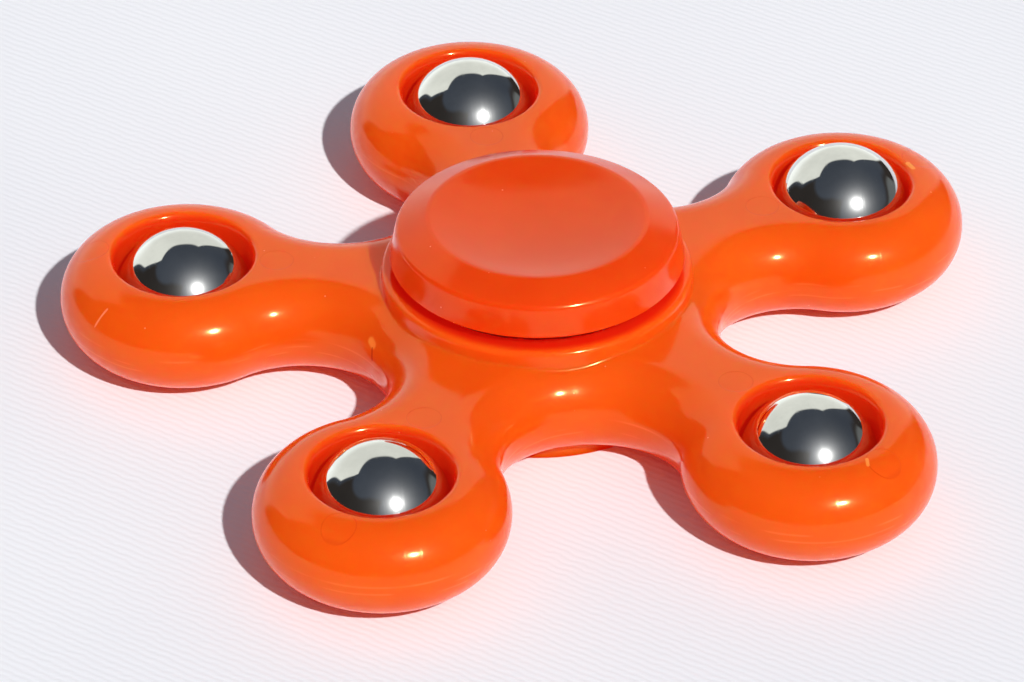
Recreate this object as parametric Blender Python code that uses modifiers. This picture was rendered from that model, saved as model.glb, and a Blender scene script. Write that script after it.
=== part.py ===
"""Five-arm fidget spinner: one moulded body with a steel ball in each arm, turning on a 608 bearing
that two pressed-in finger caps hold between them.

Frame: metres, +Z up along the spin axis, origin at the middle of the bearing, arm 1 on +Y.
"""

import math

import bmesh
import bpy

MM = 0.001

# Body moulding
ARM_COUNT = 5
ARM_RADIUS = 30.9  # spin axis to the centre of a ball
LOBE_RADIUS = 10.9  # outside of the round end of an arm
HUB_RADIUS = 16.0  # outside of the hub, at the bottom of a valley
VALLEY_RADIUS = 7.0  # hollow that joins a lobe to the hub
BODY_HALF_THICKNESS = 4.35  # the edge is a full round of this radius

# Raised collar round the bearing, on both faces
COLLAR_RADIUS = 13.4
COLLAR_HALF_HEIGHT = 5.75
COLLAR_OUTER_ROUND = 0.5
COLLAR_INNER_ROUND = 0.4
BORE_RADIUS = 11.2

# Steel weight balls and the pockets they are pressed into
WEIGHT_RADIUS = 6.0
WEIGHT_HEIGHTS = (0.5, 0.0, 0.4, 0.1, 1.2)  # each ball's centre above the middle of the body, by arm
SEAT_GAP = 0.25
MOUTH_RADIUS = 6.65
MOUTH_DEPTH = 0.8
FOOT_HOLE_RADIUS = 4.9
FOOT_HOLE_ROUND = 0.4

# Finger caps: outside profile as radius and height above the middle of the bearing
CAP_RADIUS = 12.7
CAP_UNDERSIDE = 6.8
CAP_SHOULDER = (11.745, 9.27)  # centre of the rounded shoulder, as radius and height
CAP_SHOULDER_ROUND = 0.45
CAP_SHOULDER_START = 66  # degrees above outward, where the sloping top runs into the shoulder
CAP_SHOULDER_END = 14  # degrees, where the shoulder runs into the drafted wall
CAP_RIM_ROUND = 0.25
CAP_CROWN_HEIGHT = 10.8
CAP_CROWN_INNER = 8.9
CAP_CROWN_OUTER = 9.7
CAP_DISH_DEPTH = 1.15
CAP_RIM_WALL = 1.6
CAP_HOLLOW_TOP = 8.3
CAP_HOLLOW_TAPER = 0.5
BOSS_ROOT_CHAMFER = 0.6
PLUG_CHAMFER = 0.4
BOSS_RADIUS = 5.3
BOSS_END = 3.7
STEM_RADIUS = 3.75
STEM_END = 0.15
SOCKET_RADIUS = 2.2
SOCKET_END = 4.6
PIN_RADIUS = 1.95
PIN_END = 4.3

# 608 deep-groove bearing
RING_HALF_WIDTH = 3.5
RING_CHAMFER = 0.3
INNER_BORE_RADIUS = 4.0
INNER_LAND_RADIUS = 6.05
OUTER_LAND_RADIUS = 9.0
OUTER_RING_RADIUS = 11.0
ROLLER_COUNT = 7
ROLLER_RADIUS = 1.984
PITCH_RADIUS = 7.5
RACE_RADIUS = 2.1
SHIELD_STEP_RADIUS = 9.6
SHIELD_STEP_HEIGHT = 2.65
SHIELD_OUTER_RADIUS = 9.4
SHIELD_INNER_RADIUS = 6.35
SHIELD_BOTTOM = 2.85
SHIELD_TOP = 3.2
CAGE_INNER_RADIUS = 6.7
CAGE_OUTER_RADIUS = 8.3
CAGE_BOTTOM = -2.55
CAGE_TOP = 0.9
POCKET_RADIUS = 2.15

# Facets
TURN_STEPS = 48
BEARING_STEPS = 32
EDGE_RESOLUTION = 2
CURVE_STEP = math.radians(15)
POCKET_STEPS = 28
WEIGHT_FACETS = (28, 14)  # round the ball, and from pole to pole
ROLLER_FACETS = (12, 8)
SMOOTH_ANGLE = math.radians(35)

OBJECT_NAME = "fidget_spinner"
AXIS_MARGIN = 1.5  # how far a cutter runs past the face it leaves


def clear_scene():
    for obj in list(bpy.data.objects):
        bpy.data.objects.remove(obj, do_unlink=True)


def new_collection(name, hidden=False):
    collection = bpy.data.collections.new(name)
    collection.hide_render = hidden
    bpy.context.scene.collection.children.link(collection)
    return collection


def new_material(name, colour, roughness, metallic=0.0):
    material = bpy.data.materials.new(name)
    material.use_nodes = True
    shader = material.node_tree.nodes["Principled BSDF"]
    shader.inputs["Base Color"].default_value = (*colour, 1.0)
    shader.inputs["Roughness"].default_value = roughness
    shader.inputs["Metallic"].default_value = metallic
    material.diffuse_color = (*colour, 1.0)
    return material


def add_object(name, data, collection, material=None, location=(0.0, 0.0, 0.0)):
    obj = bpy.data.objects.new(name, data)
    obj.location = [value * MM for value in location]
    collection.objects.link(obj)
    if material:
        data.materials.append(material)
    return obj


def as_cutter(obj):
    obj.hide_render = True
    obj.display_type = "WIRE"
    return obj


def smooth(mesh):
    mesh.shade_smooth()
    mesh.set_sharp_from_angle(angle=SMOOTH_ANGLE)


def arc(centre, radius, start, end, count):
    """Points (radius, height) on an arc, angles in degrees from +r towards +z."""
    points = []
    for i in range(count + 1):
        angle = math.radians(start + (end - start) * i / count)
        points.append((centre[0] + radius * math.cos(angle), centre[1] + radius * math.sin(angle)))
    return points


def ellipse_quarter(centre, across, down, count):
    """From the top of the ellipse round to its side nearest the axis."""
    points = []
    for i in range(count + 1):
        angle = 0.5 * math.pi * (1 + i / count)
        points.append((centre[0] + across * math.cos(angle), centre[1] + down * math.sin(angle)))
    return points


def turned(name, profile, collection, material=None, location=(0.0, 0.0, 0.0), steps=TURN_STEPS, closed=False):
    """A profile of (radius, height) points, outer side downwards, turned about Z."""
    mesh = bpy.data.meshes.new(name)
    count = len(profile)
    edges = [(i, (i + 1) % count) for i in range(count if closed else count - 1)]
    mesh.from_pydata([(r * MM, 0.0, z * MM) for r, z in profile], edges, [])
    obj = add_object(name, mesh, collection, material, location)
    screw = obj.modifiers.new("Turn", "SCREW")
    screw.steps = steps
    screw.render_steps = steps
    screw.use_merge_vertices = True
    screw.merge_threshold = 1e-6
    screw.use_smooth_shade = True
    return obj


def ball(name, radius, collection, material, location, facets):
    mesh = bpy.data.meshes.new(name)
    shape = bmesh.new()
    bmesh.ops.create_uvsphere(shape, u_segments=facets[0], v_segments=facets[1], radius=radius * MM)
    shape.to_mesh(mesh)
    shape.free()
    mesh.shade_smooth()
    return add_object(name, mesh, collection, material, location)


def mesh_from(obj, collection):
    """The evaluated shape of a curve or of a stack of modifiers, as a welded mesh object."""
    graph = bpy.context.evaluated_depsgraph_get()
    mesh = bpy.data.meshes.new_from_object(obj.evaluated_get(graph))
    shape = bmesh.new()
    shape.from_mesh(mesh)
    bmesh.ops.remove_doubles(shape, verts=shape.verts, dist=1e-6)
    bmesh.ops.recalc_face_normals(shape, faces=shape.faces)
    shape.to_mesh(mesh)
    shape.free()
    name = obj.name
    matrix = obj.matrix_world.copy()
    bpy.data.objects.remove(obj, do_unlink=True)
    made = bpy.data.objects.new(name, mesh)
    made.matrix_world = matrix
    collection.objects.link(made)
    return made


def boolean(target, other, operation):
    modifier = target.modifiers.new(other.name, "BOOLEAN")
    modifier.operation = operation
    modifier.object = other
    modifier.solver = "EXACT"


def arm_angle(arm):
    return math.radians(90 + 360 / ARM_COUNT * (arm - 1))


def on_circle(radius, angle, height=0.0):
    return (radius * math.cos(angle), radius * math.sin(angle), height)


def body_outline():
    """Lobe, valley and hub arcs, tangent to each other, all the way round."""
    to_hub = HUB_RADIUS + VALLEY_RADIUS
    to_lobe = LOBE_RADIUS + VALLEY_RADIUS
    x = (to_hub**2 - to_lobe**2 + ARM_RADIUS**2) / (2 * ARM_RADIUS)
    y = math.sqrt(to_hub**2 - x**2)
    lobe_end = math.atan2(y, x - ARM_RADIUS)
    valley_start = lobe_end - math.pi
    valley_end = math.atan2(y, x) - math.pi
    valley_side = math.atan2(y, x)
    half_sector = math.pi / ARM_COUNT

    half = []
    for centre, radius, start, end in (
        ((ARM_RADIUS, 0.0), LOBE_RADIUS, 0.0, lobe_end),
        ((x, y), VALLEY_RADIUS, valley_start, valley_end),
        ((0.0, 0.0), HUB_RADIUS, valley_side, half_sector),
    ):
        count = max(1, round(abs(end - start) / CURVE_STEP))
        for i in range(count):
            angle = start + (end - start) * i / count
            half.append((centre[0] + radius * math.cos(angle), centre[1] + radius * math.sin(angle)))
    half.append(on_circle(HUB_RADIUS, half_sector)[:2])
    sector = [(px, -py) for px, py in reversed(half[1:-1])] + half

    points = []
    for arm in range(1, ARM_COUNT + 1):
        turn = arm_angle(arm)
        for px, py in sector:
            points.append(
                (px * math.cos(turn) - py * math.sin(turn), px * math.sin(turn) + py * math.cos(turn))
            )
    return points


def body_plate(name, collection):
    """The outline with its edge rounded right over, as a filled curve with a half-round bevel."""
    points = body_outline()
    curve = bpy.data.curves.new(name, "CURVE")
    curve.dimensions = "2D"
    curve.fill_mode = "BOTH"
    curve.bevel_depth = BODY_HALF_THICKNESS * MM
    curve.bevel_resolution = EDGE_RESOLUTION
    curve.offset = -BODY_HALF_THICKNESS * MM
    spline = curve.splines.new("POLY")
    spline.points.add(len(points) - 1)
    for point, (x, y) in zip(spline.points, points):
        point.co = (x * MM, y * MM, 0.0, 1.0)
    spline.use_cyclic_u = True
    plate = add_object(name, curve, collection)
    bpy.context.view_layer.update()
    return mesh_from(plate, collection)


def collar_profile():
    top = COLLAR_HALF_HEIGHT
    corner = (COLLAR_RADIUS - COLLAR_OUTER_ROUND, top - COLLAR_OUTER_ROUND)
    upper = [(0.0, top)] + arc(corner, COLLAR_OUTER_ROUND, 90, 0, 3)
    return upper + [(r, -z) for r, z in reversed(upper)]


def bore_profile():
    top = COLLAR_HALF_HEIGHT
    wide = BORE_RADIUS + COLLAR_INNER_ROUND
    upper = [(0.0, top + AXIS_MARGIN), (wide, top + AXIS_MARGIN)]
    upper += arc((wide, top - COLLAR_INNER_ROUND), COLLAR_INNER_ROUND, 90, 180, 3)
    return upper + [(r, -z) for r, z in reversed(upper)]


def pocket_profile(height):
    """Rounded mouth, seat for a ball at this height and the smaller rounded hole below it."""
    seat = WEIGHT_RADIUS + SEAT_GAP
    top = BODY_HALF_THICKNESS
    mouth = ellipse_quarter((MOUTH_RADIUS, top - MOUTH_DEPTH), MOUTH_RADIUS - seat, MOUTH_DEPTH, 4)
    seat_end = math.degrees(math.acos(FOOT_HOLE_RADIUS / seat))
    seat_arc = arc((0.0, height), seat, 0, -seat_end, 3)
    foot_wide = FOOT_HOLE_RADIUS + FOOT_HOLE_ROUND
    foot = arc((foot_wide, -top + FOOT_HOLE_ROUND), FOOT_HOLE_ROUND, 180, 270, 3)
    ends = top + AXIS_MARGIN
    return [(0.0, ends), (MOUTH_RADIUS, ends)] + mouth + seat_arc + foot + [(foot_wide, -ends), (0.0, -ends)]


def cap_profile(with_pin):
    """Half section of the upper cap: dished crown, drafted wall, hollow underside, boss and stem."""
    dish_radius = (CAP_CROWN_INNER**2 + CAP_DISH_DEPTH**2) / (2 * CAP_DISH_DEPTH)
    dish_centre = CAP_CROWN_HEIGHT - CAP_DISH_DEPTH + dish_radius
    dish_count = 5
    section = []
    for i in range(dish_count):
        r = CAP_CROWN_INNER * i / dish_count
        section.append((r, dish_centre - math.sqrt(dish_radius**2 - r**2)))
    section += [(CAP_CROWN_INNER, CAP_CROWN_HEIGHT), (CAP_CROWN_OUTER, CAP_CROWN_HEIGHT)]
    section += arc(CAP_SHOULDER, CAP_SHOULDER_ROUND, CAP_SHOULDER_START, CAP_SHOULDER_END, 4)
    rim = (CAP_RADIUS - CAP_RIM_ROUND, CAP_UNDERSIDE + CAP_RIM_ROUND)
    section += arc(rim, CAP_RIM_ROUND, 0, -90, 2)
    hollow_outer = CAP_RADIUS - CAP_RIM_WALL
    section += [(hollow_outer, CAP_UNDERSIDE), (hollow_outer - CAP_HOLLOW_TAPER, CAP_HOLLOW_TOP)]
    section.append((BOSS_RADIUS + BOSS_ROOT_CHAMFER, CAP_HOLLOW_TOP))
    section.append((BOSS_RADIUS, CAP_HOLLOW_TOP - BOSS_ROOT_CHAMFER))
    section += [(BOSS_RADIUS, BOSS_END), (STEM_RADIUS, BOSS_END), (STEM_RADIUS, STEM_END + PLUG_CHAMFER)]
    section.append((STEM_RADIUS - PLUG_CHAMFER, STEM_END))
    if with_pin:
        section += [(PIN_RADIUS, STEM_END), (PIN_RADIUS, PLUG_CHAMFER - PIN_END)]
        section += [(PIN_RADIUS - PLUG_CHAMFER, -PIN_END), (0.0, -PIN_END)]
    else:
        section += [(SOCKET_RADIUS, STEM_END), (SOCKET_RADIUS, SOCKET_END), (0.0, SOCKET_END)]
    return section


def flipped(profile):
    """The same section seen from below, still running down its outer side."""
    return [(r, -z) for r, z in reversed(profile)]


def inner_ring_profile():
    land = math.sqrt(RACE_RADIUS**2 - (PITCH_RADIUS - INNER_LAND_RADIUS) ** 2)
    half_angle = math.degrees(math.asin(land / RACE_RADIUS))
    race = arc((PITCH_RADIUS, 0.0), RACE_RADIUS, 180 - half_angle, 180 + half_angle, 6)
    w, c = RING_HALF_WIDTH, RING_CHAMFER
    section = [(INNER_BORE_RADIUS + c, w), (INNER_LAND_RADIUS, w)] + race
    section += [(INNER_LAND_RADIUS, -w), (INNER_BORE_RADIUS + c, -w)]
    return section + [(INNER_BORE_RADIUS, -w + c), (INNER_BORE_RADIUS, w - c)]


def outer_ring_profile():
    land = math.sqrt(RACE_RADIUS**2 - (OUTER_LAND_RADIUS - PITCH_RADIUS) ** 2)
    half_angle = math.degrees(math.asin(land / RACE_RADIUS))
    race = arc((PITCH_RADIUS, 0.0), RACE_RADIUS, -half_angle, half_angle, 6)
    w, c = RING_HALF_WIDTH, RING_CHAMFER
    step, height = SHIELD_STEP_RADIUS, SHIELD_STEP_HEIGHT
    section = [(step, w), (OUTER_RING_RADIUS - c, w), (OUTER_RING_RADIUS, w - c)]
    section += [(OUTER_RING_RADIUS, c - w), (OUTER_RING_RADIUS - c, -w), (step, -w)]
    section += [(step, -height), (OUTER_LAND_RADIUS, -height)] + race
    return section + [(OUTER_LAND_RADIUS, height), (step, height)]


def ring_profile(inner, outer, bottom, top):
    return [(inner, top), (outer, top), (outer, bottom), (inner, bottom)]


def build_body(parts, cutters, plastic):
    body = body_plate("spinner_body", parts)
    body.data.materials.append(plastic)
    smooth(body.data)
    boolean(body, as_cutter(turned("collar_disc", collar_profile(), cutters)), "UNION")
    boolean(body, as_cutter(turned("bearing_bore", bore_profile(), cutters)), "DIFFERENCE")
    for arm in range(1, ARM_COUNT + 1):
        centre = on_circle(ARM_RADIUS, arm_angle(arm))
        name = f"ball_pocket_{arm}"
        profile = pocket_profile(WEIGHT_HEIGHTS[arm - 1])
        pocket = turned(name, profile, cutters, location=centre, steps=POCKET_STEPS)
        boolean(body, as_cutter(pocket), "DIFFERENCE")
    return body


def build_weights(parts, steel, body):
    for arm in range(1, ARM_COUNT + 1):
        centre = on_circle(ARM_RADIUS, arm_angle(arm), WEIGHT_HEIGHTS[arm - 1])
        weight = ball(f"weight_ball_{arm}", WEIGHT_RADIUS, parts, steel, centre, WEIGHT_FACETS)
        weight.parent = body


def build_caps(parts, plastic):
    turned("top_cap", cap_profile(with_pin=False), parts, plastic)
    turned("bottom_cap", flipped(cap_profile(with_pin=True)), parts, plastic)


def build_bearing(parts, cutters, steel, brass, shield_steel, body):
    turned("bearing_inner_ring", inner_ring_profile(), parts, steel, steps=BEARING_STEPS, closed=True)
    outer = turned("bearing_outer_ring", outer_ring_profile(), parts, steel, steps=BEARING_STEPS, closed=True)
    outer.parent = body
    shield = ring_profile(SHIELD_INNER_RADIUS, SHIELD_OUTER_RADIUS, SHIELD_BOTTOM, SHIELD_TOP)
    for name, profile in (("bearing_shield_top", shield), ("bearing_shield_bottom", flipped(shield))):
        turned(name, profile, parts, shield_steel, steps=BEARING_STEPS, closed=True).parent = body

    ring = ring_profile(CAGE_INNER_RADIUS, CAGE_OUTER_RADIUS, CAGE_BOTTOM, CAGE_TOP)
    cage = turned("bearing_cage", ring, parts, brass, steps=BEARING_STEPS, closed=True)
    for index in range(1, ROLLER_COUNT + 1):
        centre = on_circle(PITCH_RADIUS, 2 * math.pi * (index - 1) / ROLLER_COUNT)
        pocket = ball(f"cage_pocket_{index}", POCKET_RADIUS, cutters, None, centre, ROLLER_FACETS)
        boolean(cage, as_cutter(pocket), "DIFFERENCE")
        roller = ball(f"bearing_ball_{index}", ROLLER_RADIUS, parts, steel, centre, ROLLER_FACETS)
        roller.parent = cage


def main():
    clear_scene()
    parts = new_collection(OBJECT_NAME)
    cutters = new_collection("cutters")
    plastic = new_material("orange_plastic", (0.93, 0.10, 0.012), 0.16)
    cap_plastic = new_material("orange_cap_plastic", (0.86, 0.11, 0.018), 0.2)
    steel = new_material("polished_steel", (0.62, 0.63, 0.65), 0.06, 1.0)
    ring_steel = new_material("ground_steel", (0.55, 0.55, 0.56), 0.22, 1.0)
    pressed_steel = new_material("pressed_steel", (0.45, 0.45, 0.47), 0.35, 1.0)
    cage_nylon = new_material("cage_nylon", (0.75, 0.73, 0.66), 0.5)
    body = build_body(parts, cutters, plastic)
    build_weights(parts, steel, body)
    build_caps(parts, cap_plastic)
    build_bearing(parts, cutters, ring_steel, cage_nylon, pressed_steel, body)


main()
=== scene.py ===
"""Looks of the five-arm fidget spinner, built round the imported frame.

The frame is in metres, +Z up along the spin axis, arm 1 on +Y. Sizes below are in millimetres.
"""

import math

import bmesh
import bpy
import numpy as np
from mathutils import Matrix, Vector


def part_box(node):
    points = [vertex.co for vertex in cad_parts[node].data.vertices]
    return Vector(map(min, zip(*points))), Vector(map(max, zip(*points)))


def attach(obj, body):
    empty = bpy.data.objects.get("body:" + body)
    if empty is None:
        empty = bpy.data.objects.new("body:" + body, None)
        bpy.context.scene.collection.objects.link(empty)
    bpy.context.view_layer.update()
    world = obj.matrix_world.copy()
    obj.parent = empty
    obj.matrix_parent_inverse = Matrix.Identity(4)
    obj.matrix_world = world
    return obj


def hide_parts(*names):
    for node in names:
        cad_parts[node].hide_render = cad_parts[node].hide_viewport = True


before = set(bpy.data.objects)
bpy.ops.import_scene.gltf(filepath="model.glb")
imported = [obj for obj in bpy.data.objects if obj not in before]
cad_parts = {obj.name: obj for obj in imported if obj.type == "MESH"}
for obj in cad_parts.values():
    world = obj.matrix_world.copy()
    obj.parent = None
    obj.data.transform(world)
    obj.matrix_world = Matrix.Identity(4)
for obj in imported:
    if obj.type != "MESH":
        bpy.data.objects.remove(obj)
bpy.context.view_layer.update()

MM = 0.001

# Body moulding
ARM_COUNT = 5
ARM_RADIUS = 30.9
LOBE_RADIUS = 10.82  # a little inside the faceted lobes of the CAD part
HUB_RADIUS = 16.0
VALLEY_RADIUS = 7.0
BODY_HALF_THICKNESS = 4.35
COLLAR_RADIUS = 13.4
COLLAR_HALF_HEIGHT = 5.75
COLLAR_CREST_ROUND = 0.45
COLLAR_FOOT_FILLET = 0.2
BORE_RADIUS = 11.06
BORE_EDGE_ROUND = 0.12
BODY_VOXEL = 0.27

# Weight balls and their pockets
WEIGHT_RADIUS = 6.0
WEIGHT_HEIGHTS = (0.5, 0.0, 0.4, 0.1, 1.2)
SEAT_GAP = 0.05
MOUTH_ROUND_WIDTH = 0.55
MOUTH_ROUND_DEPTH = 0.8
FOOT_HOLE_RADIUS = 4.9
FOOT_ROUND = 0.4

# Ejector-pin marks: distance from the weight's axis along the arm, disc radius and half its soft edge
PIN_OFFSETS = (-8.2, 8.0)
PIN_MARK_RADIUS = 1.45
PIN_MARK_EDGE = 0.09
PIN_MARK_FLAT = (3.0, 3.6)  # heights between which the marks fade in, so the side walls have none

# Painted shade in the recesses, deep red: pocket walls by distance from the weight, collar by radius
SHADED_POCKET_WALLS = (6.05, 6.5)
SHADED_COLLAR_BAND = (12.2, 13.3)

# Parting line and the flow lines beside it
SEAM_HEIGHTS = (0.15, -0.55, -1.1)

# Marks left by moulding and handling, and a dark line just below the gate blob: start, end, half width,
# colour
MARKS = (
    ((-36.88, 3.99, 3.34), (-38.11, 3.7, 1.82), 0.13, (0.8, 0.3, 0.14)),
    ((-15.2, -3.44, 2.13), (-15.1, -3.85, 1.98), 0.5, (0.8, 0.33, 0.05)),
    ((-15.19, -3.95, 1.7), (-15.3, -4.42, 0.83), 0.16, (0.3, 0.02, 0.002)),
    ((35.82, 11.14, 4.35), (36.06, 10.28, 4.35), 0.3, (0.8, 0.35, 0.06)),
    ((21.5, -31.19, 4.32), (21.42, -31.88, 4.22), 0.2, (0.8, 0.35, 0.06)),
)

# Caps
CAP_RADIUS = 12.7
CAP_UNDERSIDE = 6.8
CAP_CROWN_HEIGHT = 10.8
CAP_DISH_RADIUS = 9.09
CAP_DISH_DEPTH = 1.15
CAP_CREST_RADIUS = 9.3
CAP_CREST_ROUND = 1.0
CAP_CREST_START = 104.0
CAP_SHOULDER = (11.554, 9.11)
CAP_SHOULDER_ROUND = 0.7
CAP_SHOULDER_START = 66.0
CAP_SHOULDER_END = 14.0
CAP_RIM_ROUND = 0.25
CAP_RIM_WALL = 1.6
CAP_HOLLOW_TOP = 8.3
CAP_HOLLOW_TAPER = 0.5
CAP_DISH_STEPS = 24
BOSS_RADIUS = 5.3
BOSS_END = 3.7
BOSS_ROOT_CHAMFER = 0.6
STEM_RADIUS = 3.75
STEM_END = 0.15
SOCKET_RADIUS = 2.2
SOCKET_END = 4.6
PIN_RADIUS = 1.95
PIN_END = 4.3
PLUG_CHAMFER = 0.4

# Bearing
RING_HALF_WIDTH = 3.5
RING_CHAMFER = 0.3
INNER_BORE_RADIUS = 4.0
INNER_LAND_RADIUS = 6.05
OUTER_LAND_RADIUS = 9.0
OUTER_RING_RADIUS = 11.0
PITCH_RADIUS = 7.5
RACE_RADIUS = 2.1
ROLLER_COUNT = 7
ROLLER_RADIUS = 1.984
SHIELD_STEP_RADIUS = 9.6
SHIELD_STEP_HEIGHT = 2.65
SHIELD_OUTER_RADIUS = 9.4
SHIELD_INNER_RADIUS = 6.35
SHIELD_BOTTOM = 2.85
SHIELD_TOP = 3.2
SHIELD_THICKNESS = 0.2
SHIELD_LIP_DROP = 0.08
SHIELD_RIM_DROP = 0.12

# Pad under the toy: finely meshed where it is dented, in ever wider rings outside
PAD_TOP = -4.9
PAD_CAP_BED = -10.85
PAD_DENT_RIM = 13.65
PAD_DENT_SLOPE = 0.6
PAD_WEIGHT_DENT = 1.2
PAD_WEIGHT_RIM = 7.5
PAD_WEIGHT_SLOPE = 5.5
PAD_RING_STEP = 0.5
PAD_RIM_STEP = 0.08
PAD_FINE_RADIUS = 48.0
PAD_GROWTH = 1.35
PAD_OUTER_RINGS = 14
PAD_STEPS = 180

# Painted glow: the plastic emits a red light of its own, standing in for red light that has wandered through
# it and reaches even its shaded faces
PAINTED_INNER_GLOW = 0.22

# View and light, angles in degrees in the frame's own XY plane
CAMERA_AZIMUTH = -11.26
CAMERA_ELEVATION = 35.17
CAMERA_DISTANCE = 517.3
CAMERA_TARGET = (-2.77, -2.83, 0.0)
CAMERA_LENS = 210.94
SENSOR_WIDTH = 36.0
SHADOW_SUN = (-74.0, 43.8)
GLINT_SUN = (-68.3, 41.0)
SUN_STRENGTH = 3.5

# Patches of sky seen only in reflections: azimuth, half width, lowest, highest, soft edge, in degrees
DARK_FLAG = (198.0, 52.0, -30.0, 42.0, 5.0)
FAR_TREES = (20.0, 50.0, -30.0, 20.0, 4.0)
TREE_GAP = (10.0, 20.0, -2.0, 15.0, 3.0)
PALE_SCREEN = (99.0, 42.0, -20.0, 50.0, 1.5)
SCREEN_FADE = (2, 28)

# Glow round the lamp: strength, and how fast it falls off with angle
GLOW_CORE = (3.2, -60.0)
GLOW_HAZE = (2.2, -5.2)


def direction(azimuth, elevation):
    a = math.radians(azimuth)
    e = math.radians(elevation)
    return Vector((math.cos(a) * math.cos(e), math.sin(a) * math.cos(e), math.sin(e)))


# ---------------------------------------------------------------- meshes


def link(obj):
    bpy.context.scene.collection.objects.link(obj)
    return obj


def new_object(name, mesh, material):
    obj = link(bpy.data.objects.new(name, mesh))
    mesh.materials.clear()
    mesh.materials.append(material)
    return obj


def arc(centre, radius, start, end, count):
    """Points (radius, height) on an arc, angles in degrees from +r towards +z."""
    angles = np.radians(np.linspace(start, end, count + 1))
    return [(centre[0] + radius * math.cos(a), centre[1] + radius * math.sin(a)) for a in angles]


def lathe(name, profile, material, steps=128, closed=False):
    """A (radius, height) profile in millimetres, outer side downwards, turned about Z."""
    shape = bmesh.new()
    count = len(profile)
    rings = []
    for r, z in profile:
        if r < 1e-6:
            rings.append([shape.verts.new((0.0, 0.0, z * MM))])
            continue
        turn = [2 * math.pi * i / steps for i in range(steps)]
        rings.append([shape.verts.new((r * MM * math.cos(t), r * MM * math.sin(t), z * MM)) for t in turn])
    for i in range(count if closed else count - 1):
        upper = rings[i]
        lower = rings[(i + 1) % count]
        for j in range(steps):
            k = (j + 1) % steps
            if len(upper) == 1:
                shape.faces.new((upper[0], lower[j], lower[k]))
            elif len(lower) == 1:
                shape.faces.new((upper[j], lower[0], upper[k]))
            else:
                shape.faces.new((upper[j], lower[j], lower[k], upper[k]))
    bmesh.ops.recalc_face_normals(shape, faces=shape.faces)
    mesh = bpy.data.meshes.new(name)
    shape.to_mesh(mesh)
    shape.free()
    mesh.shade_smooth()
    mesh.set_sharp_from_angle(angle=math.radians(40))
    return new_object(name, mesh, material)


def round_ball(name, radius, centre, material, cuts=28):
    """A ball as a cube grid blown out to a sphere, so that it has no poles."""
    shape = bmesh.new()
    bmesh.ops.create_cube(shape, size=2.0)
    bmesh.ops.subdivide_edges(shape, edges=shape.edges, cuts=cuts, use_grid_fill=True)
    for vert in shape.verts:
        bent = Vector([math.tan(0.25 * math.pi * c) for c in vert.co])
        vert.co = bent.normalized() * radius * MM + Vector(centre) * MM
    mesh = bpy.data.meshes.new(name)
    shape.to_mesh(mesh)
    shape.free()
    mesh.shade_smooth()
    return new_object(name, mesh, material)


# ---------------------------------------------------------------- body surface

ARM_SECTOR = 2 * math.pi / ARM_COUNT
TO_HUB = HUB_RADIUS + VALLEY_RADIUS
TO_LOBE = LOBE_RADIUS + VALLEY_RADIUS
VALLEY_X = (TO_HUB**2 - TO_LOBE**2 + ARM_RADIUS**2) / (2 * ARM_RADIUS)
VALLEY_Y = math.sqrt(TO_HUB**2 - VALLEY_X**2)


def arm_frame(points):
    """Each point's arm number, distance along that arm and distance to its side."""
    angle = np.arctan2(points[:, 1], points[:, 0]) - 0.5 * math.pi
    arm = np.round(angle / ARM_SECTOR)
    folded = angle - arm * ARM_SECTOR
    radius = np.hypot(points[:, 0], points[:, 1])
    return np.mod(arm, ARM_COUNT) + 1, radius * np.cos(folded), np.abs(radius * np.sin(folded))


def outline_inset(along, side):
    """Distance inward from the outline of lobe, valley and hub arcs."""
    lobe = LOBE_RADIUS - np.hypot(along - ARM_RADIUS, side)
    hub = HUB_RADIUS - np.hypot(along, side)
    valley = np.hypot(along - VALLEY_X, side - VALLEY_Y) - VALLEY_RADIUS
    past_lobe = (VALLEY_X - ARM_RADIUS) * side - VALLEY_Y * (along - ARM_RADIUS) < 0
    past_hub = VALLEY_X * side - VALLEY_Y * along > 0
    return np.where(past_lobe, lobe, np.where(past_hub, hub, valley))


def joined(a, b, fillet):
    """Two signed distances joined, with a fillet where they meet."""
    corner = np.hypot(np.maximum(fillet - a, 0), np.maximum(fillet - b, 0))
    return np.maximum(fillet, np.minimum(a, b)) - corner


def cut(a, b, width, depth):
    """Solid a less the void whose signed distance is b, with a rounded lip between them."""
    across = 1 - b / width
    down = 1 + a / depth
    lip = (np.hypot(np.maximum(across, 0), np.maximum(down, 0)) - 1) * np.minimum(width, depth)
    return np.where((across > 0) & (down > 0), lip, np.maximum(a, -b))


def body_distance(points):
    """Signed distance to the moulding's surface, in millimetres, less than 0 inside."""
    arm, along, side = arm_frame(points)
    z = points[:, 2]
    radius = np.hypot(points[:, 0], points[:, 1])
    edge = np.maximum(BODY_HALF_THICKNESS - outline_inset(along, side), 0)
    plate = np.hypot(edge, z) - BODY_HALF_THICKNESS

    out = radius - (COLLAR_RADIUS - COLLAR_CREST_ROUND)
    up = np.abs(z) - (COLLAR_HALF_HEIGHT - COLLAR_CREST_ROUND)
    collar = np.hypot(np.maximum(out, 0), np.maximum(up, 0)) + np.minimum(np.maximum(out, up), 0)
    solid = joined(plate, collar - COLLAR_CREST_ROUND, COLLAR_FOOT_FILLET)
    solid = cut(solid, radius - BORE_RADIUS, BORE_EDGE_ROUND, BORE_EDGE_ROUND)

    seat = WEIGHT_RADIUS + SEAT_GAP
    height = np.array(WEIGHT_HEIGHTS)[arm.astype(int) - 1]
    from_ball = np.hypot(along - ARM_RADIUS, side)
    pocket = np.minimum(np.hypot(from_ball, np.minimum(z - height, 0)) - seat, from_ball - FOOT_HOLE_RADIUS)
    width = np.where(z > 0, MOUTH_ROUND_WIDTH, FOOT_ROUND)
    depth = np.where(z > 0, MOUTH_ROUND_DEPTH, FOOT_ROUND)
    return cut(solid, pocket, width, depth)


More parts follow.
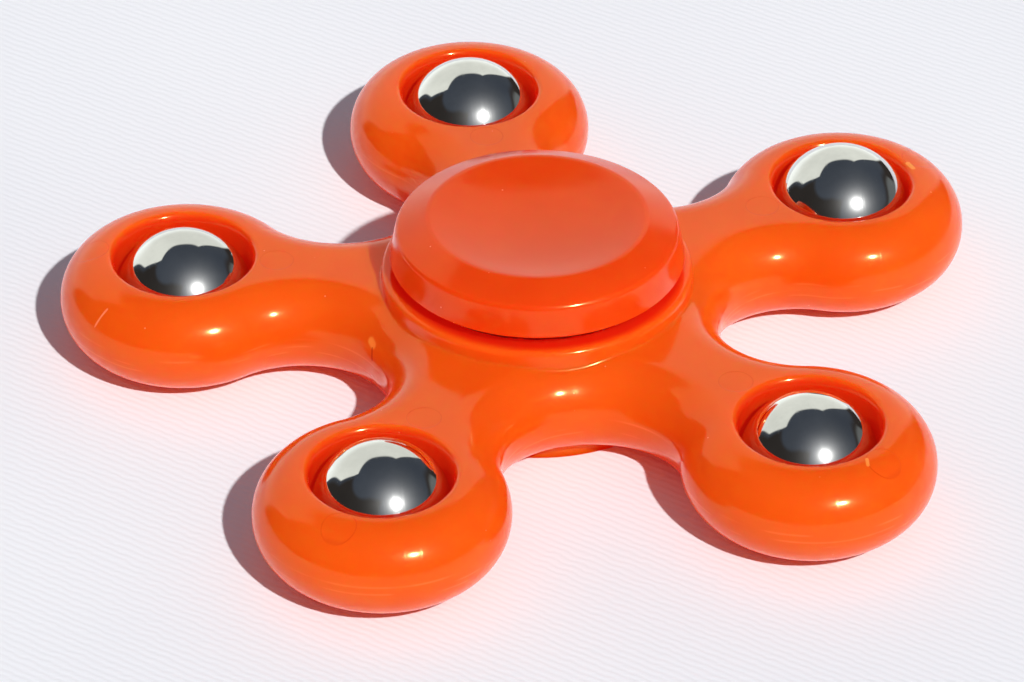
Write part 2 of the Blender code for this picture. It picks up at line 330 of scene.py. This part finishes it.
def distance_slope(points, step=0.01):
    slope = np.empty_like(points)
    for axis in range(3):
        offset = np.zeros(3)
        offset[axis] = step
        slope[:, axis] = (body_distance(points + offset) - body_distance(points - offset)) / (2 * step)
    return slope


def fine_body(material):
    """The frame's moulding, remeshed finely and drawn onto its true rounded surface."""
    coarse = bpy.data.objects.new("coarse_body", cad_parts["spinner_body"].data.copy())
    link(coarse)
    remesh = coarse.modifiers.new("Remesh", "REMESH")
    remesh.mode = "VOXEL"
    remesh.voxel_size = BODY_VOXEL * MM
    bpy.context.view_layer.update()
    graph = bpy.context.evaluated_depsgraph_get()
    mesh = bpy.data.meshes.new_from_object(coarse.evaluated_get(graph))
    bpy.data.objects.remove(coarse, do_unlink=True)

    points = np.empty(len(mesh.vertices) * 3, np.float32)
    mesh.vertices.foreach_get("co", points)
    points = points.reshape(-1, 3).astype(float) / MM
    for _ in range(6):
        slope = distance_slope(points)
        steepness = np.maximum((slope**2).sum(1), 0.25)
        points -= slope * (body_distance(points) / steepness)[:, None]
    mesh.vertices.foreach_set("co", (points * MM).astype(np.float32).ravel())
    mesh.update()
    mesh.shade_smooth()
    normals = distance_slope(points)
    normals /= np.maximum(np.linalg.norm(normals, axis=1), 1e-9)[:, None]
    mesh.normals_split_custom_set_from_vertices(normals.astype(np.float32))
    mesh.name = "body_moulding"
    return new_object("body_moulding", mesh, material)


# ---------------------------------------------------------------- caps and bearing


def cap_profile(with_pin):
    """Half section of the upper cap, outer side downwards."""
    dish_radius = (CAP_DISH_RADIUS**2 + CAP_DISH_DEPTH**2) / (2 * CAP_DISH_DEPTH)
    dish_centre = CAP_CROWN_HEIGHT - CAP_DISH_DEPTH + dish_radius
    section = []
    for i in range(CAP_DISH_STEPS):
        r = CAP_DISH_RADIUS * i / CAP_DISH_STEPS
        section.append((r, dish_centre - math.sqrt(dish_radius**2 - r**2)))
    crest = (CAP_CREST_RADIUS, CAP_CROWN_HEIGHT - CAP_CREST_ROUND)
    section += arc(crest, CAP_CREST_ROUND, CAP_CREST_START, CAP_SHOULDER_START, 10)
    section += arc(CAP_SHOULDER, CAP_SHOULDER_ROUND, CAP_SHOULDER_START, CAP_SHOULDER_END, 10)
    rim = (CAP_RADIUS - CAP_RIM_ROUND, CAP_UNDERSIDE + CAP_RIM_ROUND)
    section += arc(rim, CAP_RIM_ROUND, 0, -90, 5)
    hollow_outer = CAP_RADIUS - CAP_RIM_WALL
    section += [(hollow_outer, CAP_UNDERSIDE), (hollow_outer - CAP_HOLLOW_TAPER, CAP_HOLLOW_TOP)]
    section.append((BOSS_RADIUS + BOSS_ROOT_CHAMFER, CAP_HOLLOW_TOP))
    section += [(BOSS_RADIUS, CAP_HOLLOW_TOP - BOSS_ROOT_CHAMFER), (BOSS_RADIUS, BOSS_END)]
    section += [(STEM_RADIUS, BOSS_END), (STEM_RADIUS, STEM_END + PLUG_CHAMFER)]
    section.append((STEM_RADIUS - PLUG_CHAMFER, STEM_END))
    if with_pin:
        section += [(PIN_RADIUS, STEM_END), (PIN_RADIUS, PLUG_CHAMFER - PIN_END)]
        section += [(PIN_RADIUS - PLUG_CHAMFER, -PIN_END), (0.0, -PIN_END)]
    else:
        section += [(SOCKET_RADIUS, STEM_END), (SOCKET_RADIUS, SOCKET_END), (0.0, SOCKET_END)]
    return section


def flipped(profile):
    return [(r, -z) for r, z in reversed(profile)]


def inner_ring_profile():
    land = math.sqrt(RACE_RADIUS**2 - (PITCH_RADIUS - INNER_LAND_RADIUS) ** 2)
    half_angle = math.degrees(math.asin(land / RACE_RADIUS))
    race = arc((PITCH_RADIUS, 0.0), RACE_RADIUS, 180 - half_angle, 180 + half_angle, 16)
    w, c = RING_HALF_WIDTH, RING_CHAMFER
    section = [(INNER_BORE_RADIUS + c, w), (INNER_LAND_RADIUS, w)] + race
    section += [(INNER_LAND_RADIUS, -w), (INNER_BORE_RADIUS + c, -w)]
    return section + [(INNER_BORE_RADIUS, -w + c), (INNER_BORE_RADIUS, w - c)]


def outer_ring_profile():
    land = math.sqrt(RACE_RADIUS**2 - (OUTER_LAND_RADIUS - PITCH_RADIUS) ** 2)
    half_angle = math.degrees(math.asin(land / RACE_RADIUS))
    race = arc((PITCH_RADIUS, 0.0), RACE_RADIUS, -half_angle, half_angle, 16)
    w, c = RING_HALF_WIDTH, RING_CHAMFER
    step, height = SHIELD_STEP_RADIUS, SHIELD_STEP_HEIGHT
    section = [(step, w), (OUTER_RING_RADIUS - c, w), (OUTER_RING_RADIUS, w - c)]
    section += [(OUTER_RING_RADIUS, c - w), (OUTER_RING_RADIUS - c, -w), (step, -w)]
    section += [(step, -height), (OUTER_LAND_RADIUS, -height)] + race
    return section + [(OUTER_LAND_RADIUS, height), (step, height)]


def shield_profile():
    """Pressed shield with a raised middle band between its inner edge and its crimped rim."""
    inner, outer, low, top = SHIELD_INNER_RADIUS, SHIELD_OUTER_RADIUS, SHIELD_BOTTOM, SHIELD_TOP
    under = top - SHIELD_THICKNESS
    upper = [(inner, top - SHIELD_LIP_DROP), (inner + 0.5, top), (outer - 0.9, top)]
    upper += [(outer - 0.6, top - SHIELD_RIM_DROP), (outer, top - SHIELD_RIM_DROP)]
    return upper + [(outer, low), (outer - 0.7, low), (outer - 1.0, under), (inner, under - SHIELD_LIP_DROP)]


# ---------------------------------------------------------------- materials


class Graph:
    """Short ways to add and join the nodes of one tree."""

    def __init__(self, tree):
        self.tree = tree

    def node(self, kind, inputs=None, **settings):
        made = self.tree.nodes.new(kind)
        for name, value in settings.items():
            setattr(made, name, value)
        for key, value in (inputs or {}).items():
            self.feed(made.inputs[key], value)
        return made

    def feed(self, socket, value):
        if isinstance(value, bpy.types.NodeSocket):
            self.tree.links.new(value, socket)
        elif value is not None:
            socket.default_value = value

    def math(self, operation, a, b=None, c=None, clamp=False):
        made = self.node("ShaderNodeMath", {0: a, 1: b, 2: c}, operation=operation, use_clamp=clamp)
        return made.outputs[0]

    def vector_math(self, operation, a, b=None, output=0):
        return self.node("ShaderNodeVectorMath", {0: a, 1: b}, operation=operation).outputs[output]

    def remap(self, value, low, high, to_low=0.0, to_high=1.0, smooth=True):
        inputs = {"Value": value, "From Min": low, "From Max": high, "To Min": to_low, "To Max": to_high}
        kind = "SMOOTHSTEP" if smooth else "LINEAR"
        return self.node("ShaderNodeMapRange", inputs, interpolation_type=kind).outputs[0]

    def mix(self, factor, a, b, blend="MIX"):
        made = self.node("ShaderNodeMix", data_type="RGBA", blend_type=blend)
        self.feed(made.inputs[0], factor)
        self.feed(made.inputs[6], a)
        self.feed(made.inputs[7], b)
        return made.outputs[2]

    def noise(self, vector, scale, detail=2.0, roughness=0.5):
        inputs = {"Vector": vector, "Scale": scale, "Detail": detail, "Roughness": roughness}
        return self.node("ShaderNodeTexNoise", inputs).outputs[0]

    def voronoi(self, vector, scale, feature="F1", randomness=1.0, output=0):
        inputs = {"Vector": vector, "Scale": scale, "Randomness": randomness}
        return self.node("ShaderNodeTexVoronoi", inputs, feature=feature).outputs[output]

    def stretched(self, vector, scale, turn=(0.0, 0.0, 0.0)):
        return self.node("ShaderNodeMapping", {"Vector": vector, "Scale": scale, "Rotation": turn}).outputs[0]


def new_material(name):
    material = bpy.data.materials.new(name)
    material.use_nodes = True
    graph = Graph(material.node_tree)
    shader = material.node_tree.nodes["Principled BSDF"]
    place = graph.node("ShaderNodeTexCoord").outputs["Object"]
    return material, graph, shader, place


def colour(r, g, b):
    return (r, g, b, 1.0)


def hairlines(graph, place, turns, across, along, rarity):
    """Sparse thin straight scratches, 1 on a line and 0 elsewhere."""
    total = None
    for number, turn in enumerate(turns):
        lines = graph.stretched(place, (across, along, along), (0.07 * number, 0.05, turn))
        line = graph.remap(graph.noise(lines, 1.0, 0.0), rarity, rarity + 0.02)
        total = line if total is None else graph.math("MAXIMUM", total, line)
    return total


def arm_position(graph, place):
    """Distance along the nearest arm, distance to its side, and height."""
    split = graph.node("ShaderNodeSeparateXYZ", {0: place})
    x, y = split.outputs[0], split.outputs[1]
    angle = graph.math("SUBTRACT", graph.math("ARCTAN2", y, x), 0.5 * math.pi)
    folded = graph.math("WRAP", angle, 0.5 * ARM_SECTOR, -0.5 * ARM_SECTOR)
    flat = graph.node("ShaderNodeCombineXYZ", {0: x, 1: y}).outputs[0]
    radius = graph.vector_math("LENGTH", flat, output=1)
    along = graph.math("MULTIPLY", radius, graph.math("COSINE", folded))
    return along, graph.math("MULTIPLY", radius, graph.math("SINE", folded)), split.outputs[2]


def away_from(graph, along, side, centre):
    """Distance from the upright line that stands this far out on the arm."""
    out = graph.math("SUBTRACT", along, centre * MM)
    flat = graph.node("ShaderNodeCombineXYZ", {0: out, 1: side}).outputs[0]
    return graph.vector_math("LENGTH", flat, output=1)


def pin_marks(graph, place):
    """Shallow ejector-pin discs on the faces, one inward and one outward of each weight."""
    along, side, height = arm_position(graph, place)
    total = None
    for offset in PIN_OFFSETS:
        away = away_from(graph, along, side, ARM_RADIUS + offset)
        inside, outside = PIN_MARK_RADIUS - PIN_MARK_EDGE, PIN_MARK_RADIUS + PIN_MARK_EDGE
        disc = graph.remap(away, inside * MM, outside * MM, 1.0, 0.0)
        total = disc if total is None else graph.math("MAXIMUM", total, disc)
    raised = graph.remap(graph.math("ABSOLUTE", height), *[edge * MM for edge in PIN_MARK_FLAT])
    return graph.math("MULTIPLY", total, raised)


def painted_recess_shade(graph, place):
    """1 on the pocket walls and on the inner part of the collar, where deep red shade is painted."""
    along, side, _ = arm_position(graph, place)
    away = away_from(graph, along, side, ARM_RADIUS)
    pocket = graph.remap(away, *[edge * MM for edge in SHADED_POCKET_WALLS], 1.0, 0.0)
    flat = graph.node("ShaderNodeCombineXYZ", {0: along, 1: side}).outputs[0]
    radius = graph.vector_math("LENGTH", flat, output=1)
    collar = graph.remap(radius, *[edge * MM for edge in SHADED_COLLAR_BAND], 1.0, 0.0)
    return graph.math("MAXIMUM", graph.math("MULTIPLY", pocket, 0.75), collar)


def stroke(graph, place, start, end, half_width):
    """1 along a short line on the surface, 0 away from it."""
    run = [(b - a) * MM for a, b in zip(start, end)]
    per_length = tuple(c / sum(d * d for d in run) for c in run)
    from_start = graph.vector_math("SUBTRACT", place, tuple(a * MM for a in start))
    share = graph.vector_math("DOT_PRODUCT", from_start, per_length, output=1)
    share = graph.math("MINIMUM", graph.math("MAXIMUM", share, 0.0), 1.0)
    steps = {axis: graph.math("MULTIPLY", share, run[axis]) for axis in range(3)}
    reach = graph.node("ShaderNodeCombineXYZ", steps)
    away = graph.vector_math("LENGTH", graph.vector_math("SUBTRACT", from_start, reach.outputs[0]), output=1)
    return graph.remap(away, 0.4 * half_width * MM, half_width * MM, 1.0, 0.0)


def seam_lines(graph, place):
    """The mould's parting line and two flow lines beside it, broken up along the side walls."""
    z = graph.node("ShaderNodeSeparateXYZ", {0: place}).outputs[2]
    waver = graph.math("MULTIPLY", graph.noise(place, 120.0, 1.0), 0.5 * MM)
    total = None
    for number, height in enumerate(SEAM_HEIGHTS):
        away = graph.math("ABSOLUTE", graph.math("SUBTRACT", graph.math("SUBTRACT", z, waver), height * MM))
        line = graph.remap(away, 0.03 * MM, 0.14 * MM, 1.0, 0.0)
        broken = graph.noise(graph.stretched(place, (150.0 + 30 * number,) * 3), 1.0, 1.0)
        line = graph.math("MULTIPLY", line, graph.remap(broken, 0.48, 0.6))
        total = line if total is None else graph.math("MAXIMUM", total, line)
    return total


def orange_plastic(name, base, deep, roughness, moulded=False):
    """Glossy moulded plastic that light enters a little way, with a painted red glow, flow shading, fine
    scuffs and dust; moulded, with painted shade in the recesses and at the ejector-pin edges.
    """
    material, graph, shader, place = new_material(name)
    flow = graph.noise(place, 95.0, 3.0, 0.55)
    tone = graph.mix(graph.remap(flow, 0.3, 0.7), deep, base)
    specks = graph.voronoi(place, 620.0)
    speck = graph.remap(specks, 0.035, 0.06, 1.0, 0.0)
    few = graph.remap(graph.noise(place, 210.0, 1.0), 0.6, 0.64)
    speck = graph.math("MULTIPLY", speck, few)
    tone = graph.mix(graph.math("MULTIPLY", speck, 0.55), tone, colour(0.95, 0.45, 0.25))
    if moulded:
        pins = pin_marks(graph, place)
        # Painted shade: deep red darkening on the pocket walls and on the collar under the cap
        tone = graph.mix(painted_recess_shade(graph, place), tone, colour(0.5, 0.012, 0.002))
        # Painted shade: a darker ring along the edge of each ejector-pin disc
        rim = graph.math("MULTIPLY", pins, graph.math("SUBTRACT", 1.0, pins))
        tone = graph.mix(graph.math("MULTIPLY", rim, 1.2), tone, colour(0.42, 0.03, 0.003))
        seam = graph.math("MULTIPLY", seam_lines(graph, place), 0.3)
        tone = graph.mix(seam, tone, colour(0.85, 0.24, 0.06))
        for start, end, half_width, paint in MARKS:
            mark = graph.math("MULTIPLY", stroke(graph, place, start, end, half_width), 0.75)
            tone = graph.mix(mark, tone, colour(*paint))
    graph.feed(shader.inputs["Base Color"], tone)
    smear = graph.noise(graph.stretched(place, (260.0, 420.0, 300.0)), 1.0, 4.0, 0.6)
    scuff = hairlines(graph, place, (0.5, 1.9, 2.7), 2600.0, 110.0, 0.78)
    rough = graph.remap(smear, 0.35, 0.75, roughness, roughness + 0.07)
    rough = graph.math("MULTIPLY_ADD", scuff, 0.06, rough)
    graph.feed(shader.inputs["Roughness"], rough)
    peel = graph.noise(place, 420.0, 2.0)
    grain = graph.noise(place, 3800.0, 2.0)
    height = graph.math("MULTIPLY_ADD", grain, 0.03, graph.math("MULTIPLY", peel, 0.5))
    height = graph.math("MULTIPLY_ADD", scuff, -0.03, height)
    if moulded:
        height = graph.math("MULTIPLY_ADD", pins, -1.2, height)
    bump = graph.node("ShaderNodeBump", {"Height": height, "Strength": 0.35, "Distance": 0.00004})
    graph.feed(shader.inputs["Normal"], bump.outputs[0])
    shader.inputs["IOR"].default_value = 1.47
    shader.inputs["Specular Tint"].default_value = colour(1.0, 0.98, 0.4)
    shader.inputs["Subsurface Weight"].default_value = 0.85
    shader.inputs["Subsurface Radius"].default_value = (1.0, 0.1, 0.03)
    shader.inputs["Subsurface Scale"].default_value = 6.0 * MM
    # Painted glow: red emission of the plastic's own, on lit and shaded faces alike
    shader.inputs["Emission Color"].default_value = colour(1.0, 0.012, 0.004)
    shader.inputs["Emission Strength"].default_value = PAINTED_INNER_GLOW
    return material


def steel(name, base, roughness, spread, rings=0.0):
    """Polished or ground steel: cloudy haze, hairline scratches and, on turned faces, ring marks."""
    material, graph, shader, place = new_material(name)
    cloud = graph.noise(place, 240.0, 4.0, 0.6)
    tone = graph.mix(graph.remap(cloud, 0.3, 0.7), base, colour(*[0.86 * c for c in base[:3]]))
    graph.feed(shader.inputs["Base Color"], tone)
    hair = hairlines(graph, place, (0.2, 1.1, 2.0, 2.8), 3800.0, 160.0, 0.74)
    rough = graph.remap(cloud, 0.35, 0.75, roughness, roughness + spread)
    rough = graph.math("MULTIPLY_ADD", hair, 0.04, rough)
    graph.feed(shader.inputs["Roughness"], rough)
    height = graph.math("MULTIPLY", hair, -0.03)
    if rings:
        split = graph.node("ShaderNodeSeparateXYZ", {0: place})
        radius = graph.math("SQRT", graph.math(
            "ADD", graph.math("POWER", split.outputs[0], 2.0), graph.math("POWER", split.outputs[1], 2.0)))
        marks = graph.node("ShaderNodeCombineXYZ", {0: radius, 2: split.outputs[2]}).outputs[0]
        turning = graph.noise(marks, 9000.0, 3.0, 0.7)
        height = graph.math("MULTIPLY_ADD", turning, rings, height)
    bump = graph.node("ShaderNodeBump", {"Height": height, "Strength": 0.4, "Distance": 0.00002})
    graph.feed(shader.inputs["Normal"], bump.outputs[0])
    shader.inputs["Metallic"].default_value = 1.0
    return material


def nylon(name):
    material, graph, shader, place = new_material(name)
    cloud = graph.noise(place, 300.0, 3.0)
    tone = graph.mix(graph.remap(cloud, 0.3, 0.7), colour(0.74, 0.71, 0.62), colour(0.62, 0.58, 0.48))
    graph.feed(shader.inputs["Base Color"], tone)
    graph.feed(shader.inputs["Roughness"], graph.remap(cloud, 0.3, 0.7, 0.42, 0.58))
    grain = graph.noise(place, 5200.0, 2.0)
    bump = graph.node("ShaderNodeBump", {"Height": grain, "Strength": 0.4, "Distance": 0.00003})
    graph.feed(shader.inputs["Normal"], bump.outputs[0])
    shader.inputs["Subsurface Weight"].default_value = 0.1
    shader.inputs["Subsurface Scale"].default_value = 0.6 * MM
    return material


# ---------------------------------------------------------------- studio


def add_camera():
    data = bpy.data.cameras.new("camera")
    data.lens = CAMERA_LENS
    data.sensor_width = SENSOR_WIDTH
    data.clip_start = 0.05
    data.clip_end = 20.0
    camera = link(bpy.data.objects.new("camera", data))
    back = direction(CAMERA_AZIMUTH - 90, CAMERA_ELEVATION)
    camera.location = (Vector(CAMERA_TARGET) + back * CAMERA_DISTANCE) * MM
    camera.rotation_mode = "QUATERNION"
    camera.rotation_quaternion = (-back).to_track_quat("-Z", "Y")
    bpy.context.scene.camera = camera


def floor_height(x, y):
    """A soft pad lying close under the arms, pressed in by the lower cap and by the five weights."""
    cap_dent = np.clip((PAD_DENT_RIM - np.hypot(x, y)) / PAD_DENT_SLOPE, 0, 1)
    height = PAD_TOP - (PAD_TOP - PAD_CAP_BED) * cap_dent**2 * (3 - 2 * cap_dent)
    for arm in range(ARM_COUNT):
        turn = arm * ARM_SECTOR + 0.5 * math.pi
        away = np.hypot(x - ARM_RADIUS * math.cos(turn), y - ARM_RADIUS * math.sin(turn))
        dent = np.clip((PAD_WEIGHT_RIM - away) / PAD_WEIGHT_SLOPE, 0, 1)
        height -= PAD_WEIGHT_DENT * dent**2 * (3 - 2 * dent)
    return height


def add_floor():
    rings = np.concatenate([
        np.arange(0.0, 12.6, PAD_RING_STEP), np.arange(12.9, 13.8, PAD_RIM_STEP),
        np.arange(14.0, PAD_FINE_RADIUS, PAD_RING_STEP),
        PAD_FINE_RADIUS * PAD_GROWTH ** np.arange(0, PAD_OUTER_RINGS)])
    steps = PAD_STEPS
    angles = 2 * math.pi * np.arange(steps) / steps
    x = rings[1:, None] * np.cos(angles)
    y = rings[1:, None] * np.sin(angles)
    points = np.stack([x, y, floor_height(x, y)], axis=-1).reshape(-1, 3)
    middle = len(points)
    points = np.vstack([points, [[0.0, 0.0, PAD_CAP_BED]]]) * MM
    faces = [(middle, j, (j + 1) % steps) for j in range(steps)]
    for i in range(len(rings) - 2):
        for j in range(steps):
            k = (j + 1) % steps
            faces.append((i * steps + j, (i + 1) * steps + j, (i + 1) * steps + k, i * steps + k))
    mesh = bpy.data.meshes.new("floor")
    mesh.from_pydata(points.tolist(), [], faces)
    mesh.shade_smooth()
    material, graph, shader, place = new_material("pale_floor")
    cloud = graph.noise(place, 14.0, 2.0)
    tone = graph.mix(graph.remap(cloud, 0.3, 0.7), colour(0.9, 0.91, 0.92), colour(0.86, 0.87, 0.89))
    graph.feed(shader.inputs["Base Color"], tone)
    threads = {"Vector": place, "Scale": 620.0, "Distortion": 2.5}
    weave = graph.node("ShaderNodeTexWave", threads, bands_direction="DIAGONAL")
    bump = graph.node("ShaderNodeBump", {"Height": weave.outputs[1], "Strength": 0.4, "Distance": 0.00006})
    graph.feed(shader.inputs["Normal"], bump.outputs[0])
    shader.inputs["Roughness"].default_value = 0.9
    shader.inputs["Specular IOR Level"].default_value = 0.1
    new_object("floor", mesh, material)


def add_sun(name, angles, strength, width, glossy):
    """A lamp either for glints alone or for shading and shadows alone."""
    data = bpy.data.lights.new(name, "SUN")
    data.energy = strength
    data.angle = math.radians(width)
    lamp = link(bpy.data.objects.new(name, data))
    lamp.rotation_mode = "QUATERNION"
    lamp.rotation_quaternion = direction(*angles).to_track_quat("Z", "Y")
    lamp.visible_glossy = glossy
    lamp.visible_diffuse = not glossy


def patch(graph, azimuth, elevation, centre, half_width, low, high, soft):
    """1 inside a patch of sky: azimuths within half_width of centre, elevations from low to high."""
    off = graph.math("SUBTRACT", azimuth, math.radians(centre))
    off = graph.math("ABSOLUTE", graph.math("WRAP", off, math.pi, -math.pi))
    edge = math.radians(soft)
    inside = graph.remap(off, math.radians(half_width) - edge, math.radians(half_width) + edge, 1.0, 0.0)
    above = graph.remap(elevation, math.radians(low) - edge, math.radians(low) + edge)
    below = graph.remap(elevation, math.radians(high) - edge, math.radians(high) + edge, 1.0, 0.0)
    return graph.math("MULTIPLY", inside, graph.math("MULTIPLY", above, below))


def add_world():
    """Dim blue-grey room with a pale screen behind, a dark flag on the left and a haze round the lamp.

    Reflections see all of it, diffuse light is one even tone, and the camera sees a pale backdrop.
    """
    world = bpy.data.worlds.new("studio")
    bpy.context.scene.world = world
    world.use_nodes = True
    graph = Graph(world.node_tree)
    world.node_tree.nodes.clear()
    place = graph.node("ShaderNodeTexCoord").outputs["Generated"]
    ray = graph.vector_math("NORMALIZE", place)
    split = graph.node("ShaderNodeSeparateXYZ", {0: ray})
    bumpy = graph.noise(ray, 1.15, 0.0, 0.4)
    wobble = graph.remap(bumpy, 0.3, 0.7, -0.16, 0.16, smooth=False)
    azimuth = graph.math("ADD", graph.math("ARCTAN2", split.outputs[1], split.outputs[0]), wobble)
    elevation = graph.math("ADD", graph.math("ARCSINE", split.outputs[2]), wobble)

    sky = graph.mix(graph.remap(bumpy, 0.3, 0.7), colour(0.05, 0.06, 0.08), colour(0.06, 0.07, 0.088))
    dark = patch(graph, azimuth, elevation, *DARK_FLAG)
    tone = graph.mix(dark, sky, colour(0.03, 0.026, 0.024))
    trees = patch(graph, azimuth, elevation, *FAR_TREES)
    tone = graph.mix(trees, tone, colour(0.035, 0.028, 0.025))
    gap = patch(graph, azimuth, elevation, *TREE_GAP)
    tone = graph.mix(gap, tone, colour(0.15, 0.16, 0.16))
    screen = patch(graph, azimuth, elevation, *PALE_SCREEN)
    low_down = graph.remap(elevation, *[math.radians(e) for e in SCREEN_FADE], 1.0, 0.0)
    pale = graph.mix(low_down, colour(0.85, 0.87, 0.8), colour(1.15, 1.2, 1.15))
    tone = graph.mix(screen, tone, pale)

    lamp = direction(*GLINT_SUN)
    near = graph.vector_math("DOT_PRODUCT", ray, tuple(lamp), output=1)
    off = graph.math("ARCCOSINE", near)
    core_strength, core_fall = GLOW_CORE
    haze_strength, haze_fall = GLOW_HAZE
    core = graph.math("POWER", math.e, graph.math("MULTIPLY", graph.math("POWER", off, 2.0), core_fall))
    haze = graph.math("POWER", math.e, graph.math("MULTIPLY", off, haze_fall))
    glow = graph.math("MULTIPLY_ADD", core, core_strength, graph.math("MULTIPLY", haze, haze_strength))
    white_glow = graph.node("ShaderNodeCombineXYZ", {0: glow, 1: glow, 2: glow}).outputs[0]
    tone = graph.mix(1.0, tone, white_glow, "ADD")

    path = graph.node("ShaderNodeLightPath")
    soft = graph.mix(path.outputs["Is Diffuse Ray"], tone, colour(0.19, 0.19, 0.23))
    shown = graph.mix(path.outputs["Is Camera Ray"], soft, colour(0.86, 0.86, 0.88))
    background = graph.node("ShaderNodeBackground", {"Color": shown, "Strength": 1.0})
    output = graph.node("ShaderNodeOutputWorld")
    graph.feed(output.inputs["Surface"], background.outputs[0])


# ---------------------------------------------------------------- assembly


def dress(piece, body, slot, *nodes):
    """Puts a finished piece in place of its frame nodes."""
    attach(piece, body)
    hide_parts(*nodes)


def main():
    add_camera()
    add_floor()
    add_world()
    add_sun("shadow_lamp", SHADOW_SUN, SUN_STRENGTH, 1.5, glossy=False)
    add_sun("glint_lamp", GLINT_SUN, SUN_STRENGTH, 1.2, glossy=True)
    bpy.context.scene.view_settings.view_transform = "Standard"

    thin, thick = colour(0.63, 0.1, 0.004), colour(0.59, 0.086, 0.003)
    body_plastic = orange_plastic("body_plastic", thin, thick, 0.1, moulded=True)
    cap_plastic = orange_plastic("cap_plastic", colour(0.57, 0.06, 0.003), colour(0.53, 0.05, 0.002), 0.12)
    ball_steel = steel("ball_steel", colour(0.82, 0.82, 0.8), 0.05, 0.03)
    ring_steel = steel("bearing_steel", colour(0.56, 0.56, 0.57), 0.18, 0.1, rings=0.5)
    shield_steel = steel("shield_steel", colour(0.5, 0.5, 0.52), 0.28, 0.12, rings=0.8)
    cage_nylon = nylon("cage_nylon")

    dress(fine_body(body_plastic), "spinner", "body_plastic", "spinner_body")
    for arm in range(1, ARM_COUNT + 1):
        low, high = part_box(f"weight_ball_{arm}")
        centre = (low + high) / 2 / MM
        piece = round_ball(f"polished_ball_{arm}", WEIGHT_RADIUS, centre, ball_steel)
        dress(piece, "spinner", "ball_steel", f"weight_ball_{arm}")

    top = lathe("finger_cap_top", cap_profile(False), cap_plastic)
    dress(top, "caps", "cap_plastic", "top_cap")
    bottom = lathe("finger_cap_bottom", flipped(cap_profile(True)), cap_plastic)
    dress(bottom, "caps", "cap_plastic", "bottom_cap")
    inner = lathe("ground_inner_ring", inner_ring_profile(), ring_steel, closed=True)
    dress(inner, "caps", "bearing_steel", "bearing_inner_ring")
    outer = lathe("ground_outer_ring", outer_ring_profile(), ring_steel, closed=True)
    dress(outer, "spinner", "bearing_steel", "bearing_outer_ring")
    upper = lathe("pressed_shield_top", shield_profile(), shield_steel, closed=True)
    dress(upper, "spinner", "shield_steel", "bearing_shield_top")
    lower = lathe("pressed_shield_bottom", flipped(shield_profile()), shield_steel, closed=True)
    dress(lower, "spinner", "shield_steel", "bearing_shield_bottom")
    for index in range(1, ROLLER_COUNT + 1):
        low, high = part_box(f"bearing_ball_{index}")
        piece = round_ball(f"bearing_roller_{index}", ROLLER_RADIUS, (low + high) / 2 / MM, ball_steel, 14)
        dress(piece, f"ball_{index}", "bearing_steel", f"bearing_ball_{index}")
    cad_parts["bearing_cage"].data.materials.clear()
    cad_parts["bearing_cage"].data.materials.append(cage_nylon)


main()
